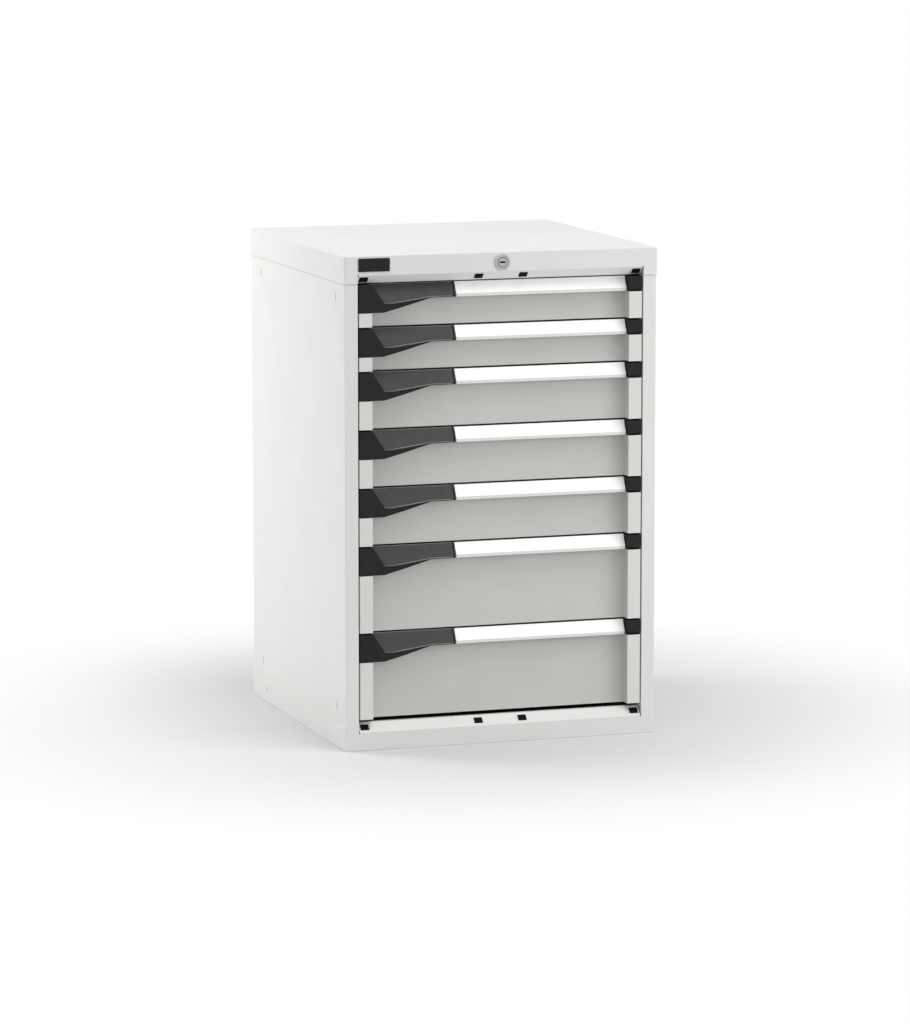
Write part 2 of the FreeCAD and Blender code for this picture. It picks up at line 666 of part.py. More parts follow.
label_strip = new_body("label_strip")
shape(label_strip, "Pad", "label_section", "YZ", "grip_left", "grip_right", [
    ("face_front", "-face_drop"),
    ("face_front + label_sheet", "-face_drop"),
    ("face_back + label_sheet", "0"),
    ("face_back", "0"),
])

end_cap = new_body("end_cap")
shape(end_cap, "Pad", "cap_section", "YZ", "front_half - cap_width", "front_half", [
    ("0", "0"),
    ("panel_recess", "0"),
    ("panel_recess", "-handle_height"),
    ("cap_bevel", "-handle_height"),
    ("0", "cap_bevel - handle_height"),
])
shape(end_cap, "Pocket", "cap_hollow", "XZ", "moulding_wall", "panel_recess",
      rectangle("front_half - cap_width + moulding_wall", "front_half - moulding_wall",
                "cap_bevel + moulding_wall - handle_height", "-moulding_wall"))


def along(text):
    """A place along the drawer front, measured from its left edge."""
    return f"front_left + ({text})"


def recess_edge(drop):
    """The slanting left edge of the lever's recess, at a depth below the front's upper edge."""
    return f"block_width + ({drop}) * recess_run"


housing = new_body("latch_housing")
shape(housing, "Pad", "housing_block", "XZ", "0", "panel_recess", [
    (along("0"), "0"),
    (along("housing_width"), "0"),
    (along("housing_width"), "part_gap - handle_height"),
    (along("wing_end"), "-handle_height"),
    (along(recess_edge("lever_height")), "-housing_height"),
    (along("0"), "-housing_height"),
])
shape(housing, "Pocket", "housing_window", "XZ", "0", "panel_recess", [
    (along("block_width"), "0"),
    (along(recess_edge("lever_height + lever_room")), "-lever_height - lever_room"),
    (along("lever_flat"), "-lever_height - lever_room"),
    (along("lever_taper"), "-lever_short - lever_room_end"),
    (along("housing_width - moulding_wall"), "-lever_short - lever_room_end"),
    (along("housing_width - moulding_wall"), "0"),
])
shape(housing, "Pocket", "housing_block_hollow", "XZ", "moulding_wall", "panel_recess", [
    (along("moulding_wall"), "-moulding_wall"),
    (along(f"{recess_edge('moulding_wall')} - moulding_wall"), "-moulding_wall"),
    (along(f"{recess_edge('lever_height')} - moulding_wall"), "-lever_height"),
    (along(f"{recess_edge('lever_height')} - moulding_wall"), "moulding_wall - housing_height"),
    (along("moulding_wall"), "moulding_wall - housing_height"),
])
shape(housing, "Pocket", "housing_wing_hollow", "XY", "-housing_height", "0", [
    (along(recess_edge("lever_height + lever_room")), "moulding_wall"),
    (along("wing_turn"), "moulding_wall"),
    (along("wing_end"), "wing_back + moulding_wall"),
    (along("housing_width - moulding_wall"), "wing_back + moulding_wall"),
    (along("housing_width - moulding_wall"), "panel_recess"),
    (along(recess_edge("lever_height + lever_room")), "panel_recess"),
])
shape(housing, "Pocket", "housing_wing_face", "XY", "-housing_height", "0", [
    (along("wing_turn"), "0"),
    (along("housing_width"), "0"),
    (along("housing_width"), "wing_back"),
    (along("wing_end"), "wing_back"),
])
shape(housing, "Pocket", "housing_end_slope", "YZ",
      along("housing_width - moulding_wall"), along("housing_width"), [
          ("0", "0"),
          ("lever_top", "0"),
          ("wing_back", "-lever_short"),
          ("0", "-lever_short"),
      ])
bore(housing, "Pocket", "housing_pivot_hole", "YZ", along("block_width - moulding_wall"),
     along("housing_width"), "pivot_radius + fit_gap", ("pivot_back", "-pivot_drop"))

lever = new_body("latch_lever")
shape(lever, "Pad", "lever_outline", "XZ", "0", "panel_recess", [
    (along("block_width + lever_side"), "-lever_gap"),
    (along(f"{recess_edge('lever_height')} + lever_side"), "-lever_height"),
    (along("lever_flat"), "-lever_height"),
    (along("lever_taper"), "-lever_short"),
    (along("housing_width - moulding_wall - lever_gap"), "-lever_short"),
    (along("housing_width - moulding_wall - lever_gap"), "-lever_gap"),
])
lever_sweep = (along("block_width"), along("housing_width - moulding_wall"))
shape(lever, "Pocket", "lever_front_slope", "YZ", *lever_sweep, [
    ("0", "0"),
    ("lever_top", "0"),
    ("lever_top - lever_lean", "-lever_height"),
    ("0", "-lever_height"),
])
shape(lever, "Pocket", "lever_rear_slope", "YZ", *lever_sweep, [
    ("lever_top + lever_wall", "0"),
    ("panel_recess", "0"),
    ("panel_recess", "-lever_height"),
    ("lever_top - lever_lean + lever_wall", "-lever_height"),
])
bore(lever, "Pad", "lever_pivot", "YZ", along("arm_start"), along("housing_width - part_gap"),
     "pivot_radius", ("pivot_back", "-pivot_drop"))
shape(lever, "Pad", "lever_arm", "YZ", along("arm_start"), along("arm_start + arm_wide"), [
    ("pivot_back", "-arm_drop"),
    ("tooth_back + tooth_deep", "-arm_drop"),
    ("tooth_back + tooth_deep", "-tooth_drop"),
    ("tooth_back", "-tooth_drop"),
    ("tooth_back", "-arm_drop - arm_deep"),
    ("pivot_back", "-arm_drop - arm_deep"),
])

strike = new_body("latch_strike")
strike_top = "-tooth_drop - part_gap"
strike_back = "tooth_back - part_gap"
shape(strike, "Pad", "strike_lug", "YZ", "-web_half", along("arm_start + 1.5 * arm_wide"),
      rectangle(f"{strike_back} - strike_deep", strike_back,
                f"{strike_top} - strike_tall", strike_top))
shape(strike, "Pad", "strike_foot", "YZ", "-web_half", "guide_sheet - web_half",
      rectangle(f"{strike_back} - strike_deep", f"{strike_back} + strike_deep",
                f"{strike_top} - strike_plate", strike_top))
latch_strikes = grouped("latch_strikes", [
    grouped(f"strike_{number}", [strike], back="front_plane", up=slot_head(number))
    for number in range(1, DRAWERS + 1)
])

# Lock, with the lock pieces in a frame where the axis meets the cover's front face

badge = new_body("name_plate")
badge_x = "badge_left - cab_width / 2"
badge_pad = shape(badge, "Pad", "badge_sheet_pad", "XZ", "cover_plane - badge_sheet", "cover_plane",
                  rectangle(badge_x, f"{badge_x} + badge_wide",
                            "cab_height - badge_drop - badge_tall", "cab_height - badge_drop"))
doc.recompute()
corner_edges = [
    f"Edge{index}"
    for index, edge in enumerate(badge_pad.Shape.Edges, 1)
    if abs(edge.tangentAt(edge.FirstParameter).y) > 0.99
]
badge_round = badge.newObject("PartDesign::Fillet", "badge_corners")
badge_round.Base = (badge_pad, corner_edges)
bind(badge_round, "Radius", "badge_round")


def turned(name, section):
    """A solid turned about the lock axis from pairs of radius and place along the axis."""
    body = new_body(name)
    sketch = new_sketch(body, f"{name}_section", "XY", "0")
    draw_outline(sketch, section)
    turn = body.newObject("PartDesign::Revolution", f"{name}_turn")
    turn.Profile = sketch
    turn.ReferenceAxis = (sketch, ["V_Axis"])
    turn.Angle = 360
    return body


def at_lock(name, piece):
    return grouped(name, [piece], back="cover_plane", up="lock_height")


barrel = turned("barrel", [
    ("plug_radius + fit_gap", "-ring_proud"),
    ("ring_radius - ring_chamfer", "-ring_proud"),
    ("ring_radius", "ring_chamfer - ring_proud"),
    ("ring_radius", "0"),
    ("barrel_radius", "0"),
    ("barrel_radius", "barrel_length"),
    ("plug_radius + fit_gap", "barrel_length"),
])

plug = turned("plug", [
    ("0", "-ring_proud"),
    ("plug_radius", "-ring_proud"),
    ("plug_radius", "crank_start"),
    ("0", "crank_start"),
])
shape(plug, "Pocket", "key_slot", "XZ", "-ring_proud", "key_deep - ring_proud",
      rectangle("-key_long / 2", "key_long / 2", "-key_wide / 2", "key_wide / 2"))


def crank_corner(out, side):
    """A corner of the crank plate, which points down to the left at 45 degrees."""
    return (f"(-({out}) + ({side})) * sin(45)", f"(-({out}) - ({side})) * sin(45)")


crank_reach = "crank_radius + crank_edge"
shape(plug, "Pad", "crank_plate", "XZ", "crank_start", "crank_back", [
    crank_corner("-crank_edge", "-crank_half"),
    crank_corner("-crank_edge", "crank_half"),
    crank_corner(crank_reach, "crank_half"),
    crank_corner(crank_reach, "-crank_half"),
])
bore(plug, "Pad", "crank_pin_pad", "XZ", "crank_back", "draw_back + sheet + bar_step",
     "crank_pin", ("-crank_shift", "-crank_shift"))

nut = new_body("nut")
nut_corners = [
    (f"nut_half / cos(30) * cos({60 * turn})", f"nut_half / cos(30) * sin({60 * turn})")
    for turn in range(6)
]
shape(nut, "Pad", "nut_hexagon", "XZ", "sheet", "sheet + nut_length", nut_corners)
bore(nut, "Pocket", "nut_bore", "XZ", "sheet", "sheet + nut_length",
     "barrel_radius + fit_gap", ("0", "0"))

# Lock bars, in a frame on the front plane at floor level


def make_lift_bar():
    """The upright bar with one tooth for each drawer and a pin at its top."""
    low = f"{slot_floor(DRAWERS)} + tooth_top - lock_tooth - lift_tail"
    high = "pin_height + pin_edge"
    bar = new_body("lift_bar_plate")
    shape(bar, "Pad", "lift_stem", "XZ", "lift_start", "lift_back",
          rectangle("lift_inner", "lift_outer", low, high))
    teeth = [
        rectangle("tray_half + tooth_clear", "lift_inner",
                  f"{slot_floor(number)} + tooth_top - lock_tooth",
                  f"{slot_floor(number)} + tooth_top")
        for number in range(1, DRAWERS + 1)
    ]
    shape(bar, "Pad", "lift_teeth", "XZ", "lift_start", "lift_back", *teeth)
    shape(bar, "Pad", "lift_tab", "XZ", "lift_start", "lift_back",
          rectangle("pin_across - pin_edge", "lift_inner", "pin_height - pin_edge", high))
    bore(bar, "Pad", "lift_pin_pad", "XZ", "lift_back", "draw_back + bar_step",
         "lift_pin", ("pin_across", "pin_height"))
    return bar


def make_draw_bar():
    """The level bar with an upright slot for the crank pin and a sloping one for the lift pin."""
    bar = new_body("draw_bar_plate")
    top = "cab_height - draw_high"
    bottom = "cab_height - draw_low"
    reach = "pin_slack + cam_edge"
    slope_end = "pin_across - stroke"
    shape(bar, "Pad", "draw_strip", "XZ", "draw_start", "draw_back",
          rectangle("-draw_tail", slope_end, bottom, top))
    shape(bar, "Pad", "draw_end", "XZ", "draw_start", "draw_back",
          rectangle(f"{slope_end} - ({reach})", f"pin_across + {reach}",
                    f"pin_height - ({reach})", f"pin_height + stroke + {reach}"))
    # The sloping slot rises to the left by the stroke, with square ends.
    half = "pin_slack * sin(45)"
    shape(bar, "Pocket", "draw_cam_slot", "XZ", "draw_start", "draw_back", [
        ("pin_across", f"pin_height - 2 * {half}"),
        (f"pin_across + 2 * {half}", "pin_height"),
        (slope_end, f"pin_height + stroke + 2 * {half}"),
        (f"{slope_end} - 2 * {half}", "pin_height + stroke"),
    ])
    shape(bar, "Pocket", "draw_crank_slot", "XZ", "draw_start", "draw_back",
          rectangle("-crank_shift - slot_half", "slot_half - crank_shift",
                    "lock_height - crank_radius - slot_half",
                    "lock_height - crank_shift + slot_half"))
    return bar


def make_guides():
    """Two hooks under the cover for the draw bar, two clips on the column for the lift bar."""
    hook = new_body("draw_guide")
    bar_low = "cab_height - draw_low - slide_gap"
    front, behind = "draw_start - slide_gap", "draw_back + slide_gap"
    shape(hook, "Pad", "draw_guide_fold", "YZ", "0", "guide_wide", [
        (f"{front} - guide_sheet", f"{bar_low} - guide_sheet"),
        (f"{behind} + guide_sheet", f"{bar_low} - guide_sheet"),
        (f"{behind} + guide_sheet", "cab_height - sheet"),
        (behind, "cab_height - sheet"),
        (behind, bar_low),
        (front, bar_low),
        (front, f"{bar_low} + guide_lip"),
        (f"{front} - guide_sheet", f"{bar_low} + guide_lip"),
    ])
    clip = new_body("lift_guide")
    edge, seat = "lift_outer + slide_gap", "lift_back + slide_gap"
    face = "lift_start - slide_gap"
    shape(clip, "Pad", "lift_guide_fold", "XY", "0", "guide_wide", [
        ("lift_inner", "column_start"),
        ("inner_half", "column_start"),
        ("inner_half", f"{face} - guide_sheet"),
        (f"{edge} - guide_hook", f"{face} - guide_sheet"),
        (f"{edge} - guide_hook", face),
        (edge, face),
        (edge, seat),
        ("lift_inner", seat),
    ])
    return grouped("lock_bar_guides", [
        grouped("draw_guide_near", [hook], across="guide_near"),
        grouped("draw_guide_far", [hook], across="guide_far"),
        grouped("lift_guide_low", [clip], up="guide_low"),
        grouped("lift_guide_high", [clip], up="guide_high"),
    ], back="front_plane")


# Nodes: each name here is one piece, or one group of like pieces

nodes = {
    "top_cover": top_cover,
    "base_pan": base_pan,
    "left_side_shell": left_shell,
    "right_side_shell": right_shell,
    "back_panel": back_panel,
    "columns": columns,
    "fixed_rails": fixed_rails,
    "latch_strikes": latch_strikes,
    "bevel_plugs": bevel_plugs,
    "side_plugs": side_plugs,
    "name_plate": badge,
    "lock_barrel": at_lock("lock_barrel", barrel),
    "lock_nut": at_lock("lock_nut", nut),
    "lock_bar_guides": make_guides(),
    "lock_plug": at_lock("lock_plug", plug),
    "lock_draw_bar": grouped("lock_draw_bar", [make_draw_bar()], back="front_plane"),
    "lock_lift_bar": grouped("lock_lift_bar", [make_lift_bar()], back="front_plane"),
}
handle_pieces = {
    "grip_rail": [grip_rail],
    "label_strip": [label_strip],
    "handle_ends": [housing, end_cap],
    "latch_lever": [lever],
}
for number in range(1, DRAWERS + 1):
    drawer = f"drawer_{number}"
    nodes[f"{drawer}_tray"] = make_tray(number)
    nodes[f"{drawer}_carriages"] = grouped(
        f"{drawer}_carriages", [carriage, carriage_twin], back="front_plane", up=slot_floor(number))
    for piece, solids in handle_pieces.items():
        nodes[f"{drawer}_{piece}"] = grouped(
            f"{drawer}_{piece}", solids, back="front_plane", up=slot_head(number))

doc.recompute()
for name, node in nodes.items():
    node.Label = name


def check_document():
    """Stop if any object failed, or if a cut took nothing away."""
    failed = [item.Name for item in doc.Objects if {"Invalid", "Error"} & set(item.State)]
    if failed:
        raise RuntimeError(f"failed objects: {failed}")
    for item in doc.Objects:
        if item.TypeId == "PartDesign::Pocket":
            if item.Shape.Volume > item.BaseFeature.Shape.Volume - 1e-3:
                raise RuntimeError(f"{item.Name} cuts nothing")
    for name, node in nodes.items():
        if node.Shape.isNull() or not node.Shape.isValid() or not node.Shape.Solids:
            raise RuntimeError(f"{name} has no valid solid")


check_document()
os.makedirs("parts", exist_ok=True)
for name, node in nodes.items():
    node.Shape.exportStep(os.path.join("parts", f"{name}.step"))
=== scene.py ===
"""Looks, light and camera for the seven-drawer steel cabinet."""
import json
import math

import bmesh
import bpy
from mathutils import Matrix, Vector

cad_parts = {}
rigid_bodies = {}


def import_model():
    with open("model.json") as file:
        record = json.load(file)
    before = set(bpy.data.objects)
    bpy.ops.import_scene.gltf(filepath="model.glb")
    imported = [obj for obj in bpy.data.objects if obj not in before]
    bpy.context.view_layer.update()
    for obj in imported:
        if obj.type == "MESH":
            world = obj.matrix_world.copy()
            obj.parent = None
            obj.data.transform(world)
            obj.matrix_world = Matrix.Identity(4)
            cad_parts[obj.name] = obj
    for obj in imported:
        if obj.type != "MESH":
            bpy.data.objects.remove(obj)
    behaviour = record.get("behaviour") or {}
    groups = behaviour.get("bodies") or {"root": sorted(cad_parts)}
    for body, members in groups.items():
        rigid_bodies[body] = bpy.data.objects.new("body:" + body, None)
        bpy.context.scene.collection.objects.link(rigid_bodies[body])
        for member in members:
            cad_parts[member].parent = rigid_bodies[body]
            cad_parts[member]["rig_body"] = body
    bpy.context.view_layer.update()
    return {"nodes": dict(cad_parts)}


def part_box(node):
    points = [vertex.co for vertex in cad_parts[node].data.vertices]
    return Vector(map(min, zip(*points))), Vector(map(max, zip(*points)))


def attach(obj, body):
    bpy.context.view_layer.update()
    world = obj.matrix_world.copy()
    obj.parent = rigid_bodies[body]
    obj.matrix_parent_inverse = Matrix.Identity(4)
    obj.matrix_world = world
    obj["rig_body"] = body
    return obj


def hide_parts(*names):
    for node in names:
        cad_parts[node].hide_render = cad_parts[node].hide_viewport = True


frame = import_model()

# Sizes of the cabinet that the looks need: millimetres, in the CAD frame.

DRAWERS = range(1, 8)
CAB_HEIGHT = 850
SKIRT = 47                  # height of the cover's edge
FRONT_PLANE = -284.8        # stiles and drawer fronts
SHELL_FACE = 280.8          # outer face of a side shell, from the middle
SEAM_HEIGHT = 1.7           # shadow joint under the cover's skirt
SEAM_DEPTH = 1.0

UNIT = 17                   # step of the partition slots
SLOTS = 26
SLOT_HALF = 1               # half a slot's width
SLOT_MARGIN = 5             # between a slot and the wall's rim
TRAY_SIDE = (229, 231)      # a band that holds the tray's side wall, from the middle
TRAY_BACK = (483, 485)      # a band that holds its back wall, behind the front plane
TRAY_CORNER = (-229.5, 24.2)    # inside corner of the tray: across, and behind the front plane
SIDE_SLOT_FOOT = 38         # height over the tray's underside, above the runner
BACK_SLOT_FOOT = 14
WALL_DROP = 14.4            # from the front panel's top down to the walls' rim
PANEL_HALF = 233.5          # the recessed front panel lies within this, from the middle
PANEL_REACH = 23.3          # and within this, behind the front plane
LEVER_REACH = 20            # the lever's front lies within this, behind the front plane

LOCK_AXIS = (0, 832.7)      # across and height
RING_FRONT = -288.5         # front of the lock's ring
KEY_SLOT = (4.8, 1.6)       # half its length and half its width
TURNED_STEPS = 64

FOLD_ANGLE = 24             # degrees: an edge that turns less isn't rounded
FOLD_ROOM = 2.6             # roundings that have to fit beside an edge
SHARP_BELOW = 0.75          # a strip that is narrower keeps its sharp edges


def mm(value):
    """Metres from millimetres."""
    return value / 1000


def place(*values):
    """A point given in millimetres."""
    return Vector(values) / 1000


# Materials


def linear(code):
    """Linear light of an sRGB hex colour, with an alpha of 1."""
    parts = [int(code[i:i + 2], 16) / 255 for i in (0, 2, 4)]
    return [c / 12.92 if c <= 0.04045 else ((c + 0.055) / 1.055) ** 2.4 for c in parts] + [1.0]


def add(tree, kind, inputs=None, **settings):
    """Add a node with its settings, and fill its inputs with values or other nodes' outputs."""
    node = tree.nodes.new(kind)
    for name, value in settings.items():
        setattr(node, name, value)
    for name, value in (inputs or {}).items():
        if isinstance(value, bpy.types.NodeSocket):
            tree.links.new(value, node.inputs[name])
        else:
            node.inputs[name].default_value = value
    return node


def new_material(name):
    """An empty node material and its tree."""
    material = bpy.data.materials.new(name)
    material.use_nodes = True
    material.node_tree.nodes.clear()
    return material, material.node_tree


def per_metre(size):
    """Pattern scale for a feature of this many millimetres."""
    return 1000 / size


def coated(name, shades, cloud, grain, relief, rough, **surface):
    """An even finish.

    Two shades drift over cloud millimetres, and a grain of one size, also in millimetres, gives the
    relief and a slight change in gloss.
    """
    material, tree = new_material(name)
    spot = add(tree, "ShaderNodeTexCoord")
    drift = add(tree, "ShaderNodeTexNoise", {
        "Vector": spot.outputs["Object"], "Scale": per_metre(cloud), "Detail": 3.0, "Roughness": 0.55})
    ramp = add(tree, "ShaderNodeValToRGB", {"Fac": drift.outputs["Fac"]})
    ramp.color_ramp.elements[0].position = 0.3
    ramp.color_ramp.elements[0].color = linear(shades[0])
    ramp.color_ramp.elements[1].position = 0.7
    ramp.color_ramp.elements[1].color = linear(shades[1])
    fine = add(tree, "ShaderNodeTexNoise", {
        "Vector": spot.outputs["Object"], "Scale": per_metre(grain), "Detail": 2.0, "Roughness": 0.5})
    gloss = add(tree, "ShaderNodeMapRange", {
        "Value": fine.outputs["Fac"], "From Min": 0.3, "From Max": 0.7,
        "To Min": rough - 0.04, "To Max": rough + 0.04})
    bump = add(tree, "ShaderNodeBump", {
        "Height": fine.outputs["Fac"], "Strength": relief, "Distance": mm(grain / 8)})
    shader = add(tree, "ShaderNodeBsdfPrincipled", {
        "Base Color": ramp.outputs["Color"], "Roughness": gloss.outputs["Result"],
        "Normal": bump.outputs["Normal"], **surface})
    add(tree, "ShaderNodeOutputMaterial", {"Surface": shader.outputs["BSDF"]})
    return material


# Powder coat on steel: an even satin grey-white with the faint ripple of orange peel, 2.5 mm across.
powder_coat = coated("powder_coat", ("DBDAD8", "DEDDDB"), 90, 2.5, 0.10, 0.42, IOR=1.5)

# The same powder coat on the drawers' trays and posts, half a shade deeper.
drawer_coat = coated("drawer_powder_coat", ("D5D4D1", "D8D7D4"), 70, 2.5, 0.10, 0.45, IOR=1.5)

# The same coat on the recessed front panels, a shade deeper again: painted shade, for the shadow in the
# recess and under the grip above it.
panel_coat_painted_shade = coated("panel_powder_coat_painted_shade", ("BFBEBB", "C3C2BF"), 70, 2.5, 0.10, 0.45, IOR=1.5)

# Moulded nylon with glass: near black, with a spark-eroded grain that keeps it matt and swallows part
# of the sheen. The real grain is near 0.1 mm and is drawn at 0.8 mm, so that it shows.
black_nylon = coated("black_nylon", ("222223", "262627"), 14, 0.8, 0.22, 0.7, IOR=1.53,
                     **{"Specular IOR Level": 0.15})

# Stoppers of soft black rubber: blacker and duller than the nylon, with a grain drawn at 0.6 mm.
black_rubber = coated("black_rubber", ("0A0A0B", "0E0E0F"), 6, 0.6, 0.2, 0.75, IOR=1.52,
                      **{"Specular IOR Level": 0.12})

# Moulded ABS of the thumb levers: dark grey, with a finer grain and a little more sheen than the nylon.
# This grain too is drawn coarser than it is.
grey_abs = coated("dark_grey_abs", ("3A3A3B", "3F3F40"), 12, 0.7, 0.16, 0.5, IOR=1.54,
                  **{"Specular IOR Level": 0.25})

# Moulded polyethylene stoppers in the casing's colour, slightly waxy.
pale_polyethylene = coated("pale_polyethylene", ("DCDBD8", "E1E0DD"), 10, 1.2, 0.08, 0.38, IOR=1.51)

# Pressed black ABS plate, smooth and half glossy, bare of any marks.
black_abs_plate = coated("black_abs_plate", ("0A0A0B", "0E0E0F"), 16, 1.0, 0.05, 0.3, IOR=1.54,
                         **{"Specular IOR Level": 0.25})

# Label card behind clear polystyrene: a clean white with a thin gloss over it. The paper's fibres, drawn
# at 0.6 mm, hardly show.
label_card = coated("label_card_under_film", ("FAFAFA", "FFFFFF"), 25, 0.6, 0.02, 0.3,
                    IOR=1.58, **{"Coat Weight": 0.5, "Coat Roughness": 0.08})

# Extruded aluminium with a pale grey powder coat, smoother than the sheet.
coated_aluminium = coated("coated_aluminium", ("DCDCDA", "E0E0DE"), 60, 1.6, 0.05, 0.35, IOR=1.5)


def plated(name, shades, patch, stretch, rough, relief):
    """A bare metal whose shade and gloss change from patch to patch, each drawn out by stretch."""
    material, tree = new_material(name)
    spot = add(tree, "ShaderNodeTexCoord")
    drawn = add(tree, "ShaderNodeMapping", {"Vector": spot.outputs["Object"], "Scale": stretch})
    patches = add(tree, "ShaderNodeTexVoronoi", {
        "Vector": drawn.outputs["Vector"], "Scale": per_metre(patch)})
    streaks = add(tree, "ShaderNodeTexNoise", {
        "Vector": drawn.outputs["Vector"], "Scale": per_metre(patch / 4), "Detail": 4.0})
    ramp = add(tree, "ShaderNodeValToRGB", {"Fac": patches.outputs["Color"]})
    ramp.color_ramp.elements[0].color = linear(shades[0])
    ramp.color_ramp.elements[1].color = linear(shades[1])
    gloss = add(tree, "ShaderNodeMapRange", {
        "Value": streaks.outputs["Fac"], "From Min": 0.3, "From Max": 0.7,
        "To Min": rough - 0.07, "To Max": rough + 0.07})
    bump = add(tree, "ShaderNodeBump", {
        "Height": streaks.outputs["Fac"], "Strength": relief, "Distance": mm(0.05)})
    shader = add(tree, "ShaderNodeBsdfPrincipled", {
        "Base Color": ramp.outputs["Color"], "Metallic": 1.0,
        "Roughness": gloss.outputs["Result"], "Normal": bump.outputs["Normal"]})
    add(tree, "ShaderNodeOutputMaterial", {"Surface": shader.outputs["BSDF"]})
    return material


# Rolled sheet with blue zinc plating: soft patches of 7 mm and a dull silver gloss.
zinc_plate = plated("zinc_plated_steel", ("A9ABAE", "BCBEC1"), 7, (1, 0.35, 1), 0.38, 0.25)

# Turned brass with satin nickel: a cool grey gloss with faint marks of the tool, drawn 1 mm apart so
# that they show.
satin_nickel = plated("satin_nickel", ("B4B6B7", "C2C4C5"), 1.0, (1, 1, 1), 0.26, 0.15)

# The key slot's walls: a dull near black, painted shade for the shadow deep in the slot.
slot_painted_shade = coated("key_slot_painted_shade", ("0A0A0A", "141413"), 2, 0.5, 0.2, 0.6, IOR=1.5)

# Pieces


def tidied(work):
    """Weld the points of a work mesh and put its flat faces in one piece."""
    bmesh.ops.remove_doubles(work, verts=work.verts, dist=mm(0.002))
    bmesh.ops.dissolve_limit(work, angle_limit=math.radians(0.5), verts=work.verts, edges=work.edges)
    return work


def cad_mesh(node):
    """A work mesh with the CAD shape of a node."""
    work = bmesh.new()
    work.from_mesh(frame["nodes"][node].data)
    return work


def breadth(edge):
    """The least width beside an edge, by the area of its faces and by the square ends next to it."""
    slack = 0.2     # radians: how far an end may be from square
    widths = []
    for loop in edge.link_loops:
        after = loop.link_loop_next
        widths.append(2 * loop.face.calc_area() / loop.face.calc_perimeter())
        for corner, end in ((loop, loop.link_loop_prev), (after, after)):
            if corner.is_convex and abs(corner.calc_angle() - math.pi / 2) < slack:
                widths.append(end.edge.calc_length())
    return min(widths)


def finish_mesh(name, work, materials, fold, rim):
    """Turn a work mesh into a piece, its wide folds rounded by fold and its thin rims by rim."""
    weights = work.edges.layers.float.new("bevel_weight_edge")
    for edge in work.edges:
        if len(edge.link_faces) == 2 and edge.calc_face_angle(0) > math.radians(FOLD_ANGLE):
            room = breadth(edge)
            if room > mm(FOLD_ROOM * fold):
                edge[weights] = 1.0
            elif room > mm(SHARP_BELOW):
                edge[weights] = rim / fold
            else:
                edge.smooth = False
    for face in work.faces:
        face.smooth = True
    mesh = bpy.data.meshes.new(name)
    work.to_mesh(mesh)
    work.free()
    if "custom_normal" in mesh.attributes:
        mesh.attributes.remove(mesh.attributes["custom_normal"])
    for material in materials:
        mesh.materials.append(material)
    piece = bpy.data.objects.new(name, mesh)
    bpy.context.scene.collection.objects.link(piece)
    rounding = piece.modifiers.new("rounding", "BEVEL")
    rounding.limit_method = "WEIGHT"
    rounding.width = mm(fold)
    rounding.segments = 3
    rounding.use_clamp_overlap = False
    rounding.harden_normals = True
    return piece


def dressed(node, material, fold, rim, cutter=None, second=None, where=None, corner=None):
    """Replace a CAD node by its own shape with rounded edges.

    A cutter is taken off it first, a second material goes on the faces that where picks out, and
    corner is the radius of a lever's lower left corner.
    """
    work = cad_mesh(node)
    if cutter is not None:
        work = carved(work, cutter)
    work = tidied(work)
    if corner is not None:
        rounded_corner(work, corner)
    if second is not None:
        for face in work.faces:
            face.material_index = 1 if where(face) else 0
    materials = [material] + ([second] if second else [])
    piece = finish_mesh(f"{node}_dressed", work, materials, fold, rim)
    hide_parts(node)
    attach(piece, frame["nodes"][node]["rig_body"])


def carved(work, cutter):
    """Join the solids of a work mesh that touch each other, and cut another one out of them."""
    pieces = []
    for name, source in (("carved_body", work), ("carved_tool", cutter)):
        mesh = bpy.data.meshes.new(name)
        source.to_mesh(mesh)
        source.free()
        piece = bpy.data.objects.new(name, mesh)
        bpy.context.scene.collection.objects.link(piece)
        pieces.append(piece)
    body, tool = pieces
    cut = body.modifiers.new("cut", "BOOLEAN")
    cut.operation = "DIFFERENCE"
    cut.solver = "EXACT"
    cut.use_self = True
    cut.object = tool
    result = bmesh.new()
    result.from_object(body, bpy.context.evaluated_depsgraph_get())
    for piece in pieces:
        mesh = piece.data
        bpy.data.objects.remove(piece)
        bpy.data.meshes.remove(mesh)
    return result


def add_block(work, low, high):
    """Add a box between two corners in millimetres."""
    low, high = place(*low), place(*high)
    made = bmesh.ops.create_cube(work, size=1)
    size = high - low
    bmesh.ops.scale(work, vec=size, verts=made["verts"])
    bmesh.ops.translate(work, vec=(low + high) / 2, verts=made["verts"])


def add_turned(work, outline):
    """Add a ring turned about the lock's axis, from points of radius and depth behind its front."""
    across, height = LOCK_AXIS
    rings = []
    for step in range(TURNED_STEPS):
        turn = 2 * math.pi * step / TURNED_STEPS
        rings.append([work.verts.new(place(across + radius * math.cos(turn), RING_FRONT + depth,
                                           height + radius * math.sin(turn)))
                      for radius, depth in outline])
    for step in range(TURNED_STEPS):
        here, there = rings[step], rings[(step + 1) % TURNED_STEPS]
        for i in range(len(outline)):
            j = (i + 1) % len(outline)
            work.faces.new((here[i], here[j], there[j], there[i]))
    bmesh.ops.recalc_face_normals(work, faces=work.faces)


def shell_seam(side):
    """The shadow joint in a side shell, under the cover's skirt: along the side, and in the stile."""
    low, high = CAB_HEIGHT - SKIRT - SEAM_HEIGHT, CAB_HEIGHT - SKIRT
    work = bmesh.new()
    inner, outer = sorted((side * (SHELL_FACE - SEAM_DEPTH), side * 283))
    add_block(work, (inner, -286, low), (outer, 286, high))
    inner, outer = sorted((side * 250, side * (SHELL_FACE - SEAM_DEPTH / 2)))
    add_block(work, (inner, -287, low), (outer, FRONT_PLANE + SEAM_DEPTH, high))
    return work


